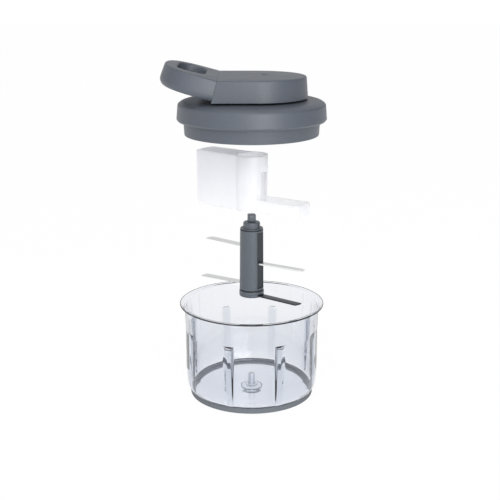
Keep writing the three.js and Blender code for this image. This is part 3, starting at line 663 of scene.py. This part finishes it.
def make_shaft():
    above = UNIT_BOTTOM + COLLAR_HEIGHT + GAP
    profile = rounded(
        [
            (BUSH_HOLE_R, UNIT_BOTTOM + GAP),
            (COLLAR_BORE_R - GAP, UNIT_BOTTOM + GAP),
            (COLLAR_BORE_R - GAP, above, 0.2),
            (SHAFT_R - FOOT_GROOVE_DEPTH, above),
            (SHAFT_R - FOOT_GROOVE_DEPTH, above + FOOT_GROOVE_TOP - 0.2),
            (SHAFT_R, above + FOOT_GROOVE_TOP, 0.1),
            (SHAFT_TOP_R, SHOULDER_Z - 1.7, 0.1),
            (SHAFT_TOP_R - 0.8, SHOULDER_Z - 1.5),
            (SHAFT_TOP_R - 0.8, SHOULDER_Z - 0.8),
            (SHAFT_TOP_R - 0.2, SHOULDER_Z - 0.6, 0.1),
            (SHAFT_TOP_R - 0.2, SHOULDER_Z, 0.4),
            (STEP_R, SHOULDER_Z, 0.4),
            (STEP_R, STEP_TOP - GAP, 1.5),
            (STEM_R + GAP, STEP_TOP - GAP, 0.3),
            (STEM_R + GAP, SHOULDER_Z - 4),
            (0, SHOULDER_Z - 4),
            (0, UNIT_BOTTOM + BUSH_HOLE_HEIGHT),
            (BUSH_HOLE_R, UNIT_BOTTOM + BUSH_HOLE_HEIGHT),
        ],
        6,
    )
    shaft = lathe("blade_shaft_smooth", held(profile), 96)
    half = BLADE_CHORD / 2 + GAP
    lowest_angle = BLADES[0][2]
    foot, head = above + CHANNEL_FOOT, SHOULDER_Z - CHANNEL_HEAD
    channel = box_tool(SHAFT_R - CHANNEL_DEPTH, 20, -half, half, foot, head)
    combine(shaft, turned(channel, lowest_angle), *[blade_tool(b, GAP) for b in BLADES[1:]])
    smooth(shaft)
    finish_piece(shaft, "blade_unit", "dark_plastic", SHAFT, "blade_shaft")
    # Painted shade: faces in the channel and in the top and foot grooves take the near-black copy of the
    # shaft's plastic
    shaft.data.materials.append(SHAFT_PAINTED_SHADE)
    facing = Matrix.Rotation(math.radians(lowest_angle), 3, "Z") @ Vector((1, 0, 0))
    for face in shaft.data.polygons:
        centre = face.center / MM
        radius = math.hypot(centre.x, centre.y)
        in_channel = face.normal.dot(facing) > 0.99 and centre.dot(facing) < SHAFT_R - 0.9
        near_top = SHOULDER_Z - 1.65 < centre.z < SHOULDER_Z - 0.65
        in_top_groove = near_top and STEP_R + 0.2 < radius < SHAFT_TOP_R - 0.3
        in_foot_groove = radius < SHAFT_R - 0.1 and above < centre.z < above + 1.05
        if in_channel or in_top_groove or in_foot_groove:
            face.material_index = 1


def make_collar():
    collar = lathe(
        "shaft_collar_round",
        rounded(
            [
                (COLLAR_BORE_R, UNIT_BOTTOM, 0.3),
                (COLLAR_R, UNIT_BOTTOM, 0.9),
                (COLLAR_R, UNIT_BOTTOM + COLLAR_HEIGHT, 0.5),
                (COLLAR_BORE_R, UNIT_BOTTOM + COLLAR_HEIGHT),
            ],
            5,
        ),
        96,
    )
    combine(collar, blade_tool(BLADES[0], GAP))
    smooth(collar)
    finish_piece(collar, "blade_unit", "dark_plastic", SHAFT, "shaft_collar")


def make_tip():
    """The drive tip: a square head with its corners cut, on a round stem."""
    half, corner = TIP_HALF, TIP_CORNER
    plan = [
        (half, -corner),
        (half, corner),
        (corner, half),
        (-corner, half),
        (-half, corner),
        (-half, -corner),
        (-corner, -half),
        (corner, -half),
    ]
    tip = loft("drive_tip_faceted", [(plan, STEP_TOP), (plan, TIP_TOP)])
    soften(tip, 0.5, 3, 30)
    combine(tip, cylinder_tool(STEM_R, SHOULDER_Z - 3.7, STEP_TOP + 1, 32), operation="UNION")
    smooth(turned(tip, TIP_ANGLE))
    finish_piece(tip, "blade_unit", "dark_plastic", SHAFT, "drive_tip")


def make_blade(blade):
    """A thin blade: its end cut a little obliquely, one long edge ground from both faces."""
    name, height, angle, reach = blade
    half = BLADE_CHORD / 2
    thick = BLADE_THICK / 2
    z = UNIT_BOTTOM + height
    far = math.sqrt(reach**2 - BLADE_POINT**2)
    corners = [
        (BLADE_ROOT_R, -half, 0.2),
        (far - BLADE_CUT, -half, 0.7),
        (far, BLADE_POINT, 0.5),
        (far - 0.4, half, 0.5),
        (BLADE_ROOT_R, half, 0.2),
    ]
    plan = rounded(corners, 5)
    ground = [(x, min(y, half - BLADE_GRIND)) for x, y in plan]
    sections = [(ground, z - thick), (plan, z - 0.12), (plan, z + 0.12), (ground, z + thick)]
    blade_object = loft(name + "_ground", sections, 20)
    turned(blade_object, angle)
    soften(blade_object, 0.12, 2, 30, 20)
    material = BLADE_DARK if name == "blade_low_right" else BLADE
    finish_piece(blade_object, "blade_unit", "blade_steel", material, name)


make_shaft()
make_collar()
make_tip()
for one in BLADES:
    make_blade(one)


# ------------------------------------------------------------------ blade cover


def wing_plan(half_width, inset):
    """Plan of a wing that points along X: straight sides and an end that follows the bowl's wall."""
    half = half_width - inset
    radius = WING_R - inset
    edge = math.asin(half / radius)
    plan = [(0, -half)]
    for i in range(25):
        a = -edge + 2 * edge * i / 24
        plan.append((radius * math.cos(a), radius * math.sin(a)))
    plan.append((0, half))
    return plan


def make_cover():
    bottom = COVER_BOTTOM
    top = COVER_BOTTOM + COVER_HEIGHT
    low_top = bottom + LOW_WING_HEIGHT
    tall_plan, tall_inner = wing_plan(TALL_WING_HALF, 0), wing_plan(TALL_WING_HALF, COVER_WALL)
    low_plan, low_inner = wing_plan(LOW_WING_HALF, 0), wing_plan(LOW_WING_HALF, COVER_WALL)
    slot_half = COVER_SLOT_HALF
    slot = box_tool(0, HUB_R + 1, -slot_half, slot_half, bottom - 1, bottom + COVER_SLOT_HEIGHT)
    cover = cylinder_tool(HUB_R, bottom, top, 96)
    cover.name = "blade_cover_milky"
    combine(
        cover,
        turned(loft("tool", [(tall_plan, bottom), (tall_plan, top)]), TALL_WING_ANGLE),
        turned(loft("tool", [(low_plan, bottom), (low_plan, low_top)]), LOW_WING_ANGLE),
        operation="UNION",
    )
    combine(
        cover,
        cylinder_tool(HUB_R - HUB_WALL, bottom - 1, top + 1, 96),
        turned(loft("tool", [(tall_inner, bottom - 1), (tall_inner, top - COVER_WALL)]), TALL_WING_ANGLE),
        turned(loft("tool", [(low_inner, bottom - 1), (low_inner, low_top + 0.01)]), LOW_WING_ANGLE),
        turned(slot, COVER_SLOT_ANGLE),
    )
    soften(cover, 0.3, 2, 40, 30)
    finish_piece(cover, "cover", "white_plastic", WHITE, "blade_cover")


make_cover()


# ------------------------------------------------------------------ lid


def make_lid():
    inner = PLUG_R - PLUG_WALL
    profile = rounded(
        [
            (inner, PLUG_BOTTOM, 0.3),
            (PLUG_BOTTOM_R, PLUG_BOTTOM, 0.45),
            (PLUG_R, FLANGE_BOTTOM - 0.5, 2),
            (PLUG_R, LID_MIDDLE_BOTTOM, 0.3),
            (61.2, LID_MIDDLE_BOTTOM, 0.3),
            (61.2, FLANGE_BOTTOM, 0.3),
            (62.8, FLANGE_BOTTOM, 0.3),
            (RIM_R, FLANGE_BOTTOM + 1.6, 0.5),
            (63, LID_TOP - 4.6, 1.2),
            (62.4, LID_TOP - 3.3, 1.0),
            (60, LID_TOP - 1.6, 2.0),
            (57.5, LID_TOP - 0.8, 2.5),
            (54, LID_TOP - 0.3, 6),
            (46, LID_TOP, 12),
            (40, LID_TOP),
            (LID_HOLE_R, LID_TOP, 0.3),
            (LID_HOLE_R, LID_MIDDLE_BOTTOM),
            (LID_MIDDLE_R, LID_MIDDLE_BOTTOM, 0.4),
            (LID_MIDDLE_R, LID_CEILING, 0.4),
            (inner, LID_CEILING, 1),
        ],
        5,
    )
    lid = lathe("lid_smooth", held(profile), 192)
    finish_piece(lid, "lid", "slate_plastic", SLATE, "lid")


make_lid()


# ------------------------------------------------------------------ housing and handle


def housing_plan(half, left_x, steps=72):
    plan = []
    for i in range(steps + 1):
        a = -math.pi / 2 + math.pi * i / steps
        plan.append((HOUSING_END_X + half * math.cos(a), half * math.sin(a)))
    plan.append((left_x, half))
    plan.append((left_x, -half))
    return plan


def left_of_seam(offset):
    """All that lies on the handle's side of the slanted seam."""
    return to_handle(box_tool(-80, offset, -60, 60, -60, 30))


# The rounded top edge and crown that the housing and the handle share: growth of the plan, depth below top
CROWN = [
    (0.1, 2.0),
    (0.04, 1.65),
    (-0.13, 1.3),
    (-0.34, 1.03),
    (-0.6, 0.82),
    (-0.9, 0.66),
    (-1.25, 0.56),
    (-3, 0.49),
    (-7, 0.35),
    (-11, 0.22),
    (-16, 0.12),
    (-21, 0.04),
    (-26, 0.0),
]


def cord_line_tool(radius):
    """A round bar along the line of the pull cord, in the handle's own frame."""
    tool = cylinder_tool(radius, -6, 6, 32)
    tool.data.transform(Matrix.Translation((0, 0, CORD_DEPTH * MM)) @ Matrix.Rotation(math.pi / 2, 4, "Y"))
    return tool


def make_housing():
    half, left = HOUSING_HALF, HOUSING_LEFT
    sections = [
        (housing_plan(half + HOUSING_DRAFT - 0.4, left), HOUSING_BOTTOM),
        (housing_plan(half + HOUSING_DRAFT - 0.1, left), HOUSING_BOTTOM + 0.15),
        (housing_plan(half + HOUSING_DRAFT - 0.05, left), HOUSING_BOTTOM + 0.6),
        (housing_plan(half + 0.17, left), HOUSING_TOP - 3),
    ]
    sections += [(housing_plan(half + grow, left), HOUSING_TOP - below) for grow, below in CROWN]
    shell = loft("housing_shell_smooth", sections, 30)
    hollow = loft(
        "tool",
        [
            (housing_plan(half + HOUSING_DRAFT - 2.5, -60), HOUSING_BOTTOM - 1),
            (housing_plan(half - 2.9, -60), HOUSING_TOP - 2.5),
        ],
    )
    combine(hollow, left_of_seam(SEAM_WALL))
    combine(shell, left_of_seam(0), hollow, to_handle(cord_line_tool(EYELET_HOLE_R)))
    combine(shell, cylinder_tool(VENT_R, HOUSING_TOP - VENT_DEPTH, HOUSING_TOP + 1, 64, x=VENT_X))
    soften(shell, 0.3, 3, 50, 30)
    finish_piece(shell, "lid", "slate_plastic", SLATE, "housing_shell")

    top = HOUSING_TOP - 0.35
    bottom = HOUSING_TOP - VENT_DEPTH + GAP
    button = rounded([(0, bottom), (VENT_R - GAP, bottom, 0.1), (VENT_R - GAP, top, 0.3), (0, top)], 4)
    plug = lathe("vent_plug_round", button, 48, False)
    plug.data.transform(Matrix.Translation((VENT_X * MM, 0, 0)))
    # The vent plug's near-black rubber is painted shade for the dark of the vent hole
    finish_piece(plug, "lid", "soft_rubber", RUBBER_PAINTED_SHADE, "vent_plug")


def handle_plan(grow, seam, steps=96):
    half = HOUSING_HALF + grow
    end = HANDLE_END + grow
    plan = [(seam, -half), (seam, half)]
    for i in range(steps + 1):
        a = math.pi / 2 - math.pi * i / steps
        across = math.copysign(abs(math.sin(a)) ** (2 / HANDLE_POWER), math.sin(a))
        along = abs(math.cos(a)) ** (2 / HANDLE_POWER)
        plan.append((-HANDLE_STRAIGHT - end * along, half * across))
    return plan


def finger_plan(grow, steps=32):
    r = FINGER_HALF_WIDE + grow
    reach = FINGER_HALF_LONG - FINGER_HALF_WIDE
    plan = []
    for side, start in ((1, 0), (-1, math.pi)):
        for i in range(steps + 1):
            a = start + math.pi * i / steps
            plan.append((FINGER_X + r * math.cos(a), side * reach + r * math.sin(a)))
    return plan


HANDLE_SCREWS = [(-7, 33), (-7, -33), (-40.2, 6), (-40.2, -6)]
HANDLE_POST_R = 3
SCREW_HOLE_R = 1.25
# The faces at the seam nearly touch, and their eased edges leave a shallow groove
SEAM_FACE = -0.05


def make_handle():
    bottom = -HANDLE_THICK
    levels = [
        (-1.6, bottom),
        (-1.15, bottom + 0.2),
        (-0.75, bottom + 0.5),
        (-0.35, bottom + 0.9),
        (0.2, bottom + 1.6),
        (0.6, bottom + 2.3),
        (0.98, bottom + 3.4),
        (1.15, bottom + 4.5),
        (1.1, bottom + 6.5),
    ]
    levels += [(grow, -below) for grow, below in CROWN]
    grip = loft("handle_grip_smooth", [(handle_plan(grow, SEAM_FACE), z) for grow, z in levels], 30)
    opening = loft(
        "tool",
        [
            (finger_plan(0), bottom - 1),
            (finger_plan(0), -1.9),
            (finger_plan(0.12), -1.3),
            (finger_plan(0.4), -0.75),
            (finger_plan(1.0), -0.2),
            (finger_plan(1.3), 1),
        ],
    )
    pocket_plan = handle_plan(-HANDLE_WALL, -HANDLE_WALL - GAP)
    pocket = loft("tool", [(pocket_plan, bottom - 1), (pocket_plan, -HANDLE_WALL)])
    around_opening = finger_plan(HANDLE_WALL)
    combine(pocket, loft("tool", [(around_opening, bottom - 2), (around_opening, 1)]))
    combine(grip, pocket, opening)
    for x, y in HANDLE_SCREWS:
        combine(grip, cylinder_tool(HANDLE_POST_R, bottom + 3.9, -2, 32, x, y), operation="UNION")
        combine(grip, cylinder_tool(SCREW_HOLE_R, bottom, bottom + 12.5, 24, x, y))
    combine(grip, cord_line_tool(CORD_R + 0.6))
    soften(grip, 0.3, 3, 50, 30)
    to_handle(grip)
    finish_piece(grip, "pull_handle", "slate_plastic", SLATE, "handle_grip")


STRAND_COUNT = 4
STRAND_LAY = 2.2
STRAND_DEPTH = 0.05


def make_pull_cord():
    """The braided cord between the reel's lead and the handle, which draws out as the handle is pulled."""
    near, far = -HANDLE_WALL - 2 * GAP, CORD_MEET
    rings, around = 24, 24
    verts, faces = [], []
    for k in range(rings + 1):
        x = near + (far - near) * k / rings
        for s in range(around):
            a = 2 * math.pi * s / around
            r = CORD_R * (1 - STRAND_DEPTH * abs(math.sin(STRAND_COUNT * a + STRAND_LAY * x)))
            verts.append((x, r * math.cos(a), CORD_DEPTH + r * math.sin(a)))
    for k in range(rings):
        for s in range(around):
            t = (s + 1) % around
            low, high = k * around, (k + 1) * around
            faces.append((low + s, high + s, high + t, low + t))
    faces.append(tuple(range(around)))
    faces.append(tuple(rings * around + s for s in range(around - 1, -1, -1)))
    cord = to_handle(make_object("pull_cord_braided", verts, faces, 50))
    cord.data.materials.append(CORD)
    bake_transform(cord)
    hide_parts("pull_cord")


make_housing()
make_handle()
make_pull_cord()


# ------------------------------------------------------------------ materials of the plain pieces that stay

LOOKS = {
    "spindle_bush": WHITE_INNER,
    "lid_seal": RUBBER,
    "lid_under_plate": SLATE_LOW,
    "plate_screw_1": STEEL,
    "plate_screw_2": STEEL,
    "plate_screw_3": STEEL,
    "spring_cup": SLATE_LOW,
    "return_spring": STEEL,
    "housing_neck": SLATE_LOW,
    "cord_eyelet": STEEL,
    "reel_axle": STEEL,
    "cord_lead": CORD,
    "cord_reel": WHITE_INNER,
    "wound_cord": CORD,
    "ratchet_wheel": STEEL,
    "pawl_1": STEEL,
    "pawl_2": STEEL,
    "drive_socket": SLATE_LOW,
    "handle_plate": SLATE_LOW,
    "handle_screw_1": STEEL,
    "handle_screw_2": STEEL,
    "handle_screw_3": STEEL,
    "handle_screw_4": STEEL,
    "cord_stop": STEEL,
}
for node_name, look in LOOKS.items():
    slots = NODES[node_name].material_slots
    if not slots:
        NODES[node_name].data.materials.append(look)
    for material_slot in slots:
        material_slot.material = look


# ------------------------------------------------------------------ floor, light and camera


FLOOR_HALF = 6.0
FLOOR_COLOUR = 0.06
FLOOR_GLOW = 0.95


def grey(value):
    return (value, value, value)


def make_stage():
    floor_mesh = bpy.data.meshes.new("floor")
    size = FLOOR_HALF
    corners = [(-size, -size, 0), (size, -size, 0), (size, size, 0), (-size, size, 0)]
    floor_mesh.from_pydata(corners, [], [(0, 1, 2, 3)])
    floor = bpy.data.objects.new("floor", floor_mesh)
    bpy.context.scene.collection.objects.link(floor)
    material, tree, shader = new_material("pale_floor")
    shader.inputs["Base Color"].default_value = (*grey(FLOOR_COLOUR), 1)
    shader.inputs["Roughness"].default_value = 1
    shader.inputs["Specular IOR Level"].default_value = 0
    shader.inputs["Emission Color"].default_value = (1, 1, 1, 1)
    shader.inputs["Emission Strength"].default_value = FLOOR_GLOW
    floor.data.materials.append(material)


def area_light(name, location, target, size, power):
    data = bpy.data.lights.new(name, "AREA")
    data.shape = "DISK"
    data.size = size
    data.energy = power
    light = bpy.data.objects.new(name, data)
    light.location = location
    light.rotation_euler = (Vector(target) - Vector(location)).to_track_quat("-Z", "Y").to_euler()
    bpy.context.scene.collection.objects.link(light)


WORLD_STRENGTH = 1.2
# Where the bright wall stands, and how the light falls off away from it
FRONT_LIGHT = (0.15, -0.95, 0.25)
FRONT_STOPS = [(0.0, grey(0.44)), (0.45, grey(0.47)), (0.72, grey(0.95)), (0.90, grey(1))]
BACKDROP = 0.58
BACKDROP_STARTS = 0.0
BACKDROP_FULL = 0.6
RIGHT_SIDE = 0.05
RIGHT_SIDE_STARTS = 0.5
RIGHT_SIDE_FULL = 0.85


def make_world():
    """A studio lit by a bright wall in front, with a dimmer backdrop and a dark right side.

    What is seen directly or through the clear bowl is plain white.
    """
    world = bpy.data.worlds.new("studio")
    bpy.context.scene.world = world
    world.use_nodes = True
    tree = world.node_tree
    background = tree.nodes["Background"]
    background.inputs["Strength"].default_value = WORLD_STRENGTH
    coords = add(tree, "ShaderNodeTexCoord")
    towards = add(tree, "ShaderNodeVectorMath", operation="DOT_PRODUCT")
    towards.inputs[1].default_value = Vector(FRONT_LIGHT).normalized()
    tree.links.new(coords.outputs["Generated"], towards.inputs[0])
    front = ramp(tree, towards.outputs["Value"], FRONT_STOPS)
    axes = add(tree, "ShaderNodeSeparateXYZ")
    tree.links.new(coords.outputs["Generated"], axes.inputs["Vector"])
    behind = add(tree, "ShaderNodeMapRange", interpolation_type="SMOOTHSTEP")
    behind.inputs["From Min"].default_value = BACKDROP_STARTS
    behind.inputs["From Max"].default_value = BACKDROP_FULL
    tree.links.new(axes.outputs["Y"], behind.inputs["Value"])
    dim = add(tree, "ShaderNodeMapRange", interpolation_type="SMOOTHSTEP")
    dim.inputs["From Min"].default_value = RIGHT_SIDE_STARTS
    dim.inputs["From Max"].default_value = RIGHT_SIDE_FULL
    dim.inputs["To Min"].default_value = 1.0
    dim.inputs["To Max"].default_value = RIGHT_SIDE
    tree.links.new(axes.outputs["X"], dim.inputs["Value"])
    around = add(tree, "ShaderNodeMixRGB")
    tree.links.new(behind.outputs["Result"], around.inputs["Fac"])
    tree.links.new(front.outputs["Color"], around.inputs["Color1"])
    around.inputs["Color2"].default_value = (*grey(BACKDROP), 1)
    path = add(tree, "ShaderNodeLightPath")
    through = add(tree, "ShaderNodeMath", operation="MAXIMUM")
    tree.links.new(path.outputs["Is Camera Ray"], through.inputs[0])
    tree.links.new(path.outputs["Is Transmission Ray"], through.inputs[1])
    seen = add(tree, "ShaderNodeMixRGB")
    tree.links.new(through.outputs["Value"], seen.inputs["Fac"])
    shaded = add(tree, "ShaderNodeMixRGB", blend_type="MULTIPLY")
    shaded.inputs["Fac"].default_value = 1
    tree.links.new(around.outputs["Color"], shaded.inputs["Color1"])
    tree.links.new(dim.outputs["Result"], shaded.inputs["Color2"])
    tree.links.new(shaded.outputs["Color"], seen.inputs["Color1"])
    seen.inputs["Color2"].default_value = (1, 1, 1, 1)
    tree.links.new(seen.outputs["Color"], background.inputs["Color"])


make_stage()
make_world()
area_light("front_softbox", location=(0.42, -1.35, 0.45), target=(0, 0, 0.2), size=0.9, power=10)
area_light("top_softbox", location=(-0.1, -0.45, 1.65), target=(0, 0, 0.25), size=0.5, power=2.5)
bpy.context.scene.view_settings.view_transform = "Standard"
bpy.context.scene.view_settings.look = "None"

CAMERA_LENS = 74.149
CAMERA_PLACE = (-0.001448, -0.87535, 0.375147)
CAMERA_PITCH = 0.2710

camera_data = bpy.data.cameras.new("camera")
camera_data.lens = CAMERA_LENS
camera_data.sensor_width = 36
camera_data.clip_end = 50
camera = bpy.data.objects.new("camera", camera_data)
camera.location = CAMERA_PLACE
camera.rotation_euler = (math.pi / 2 - CAMERA_PITCH, 0, 0)
bpy.context.scene.collection.objects.link(camera)
bpy.context.scene.camera = camera
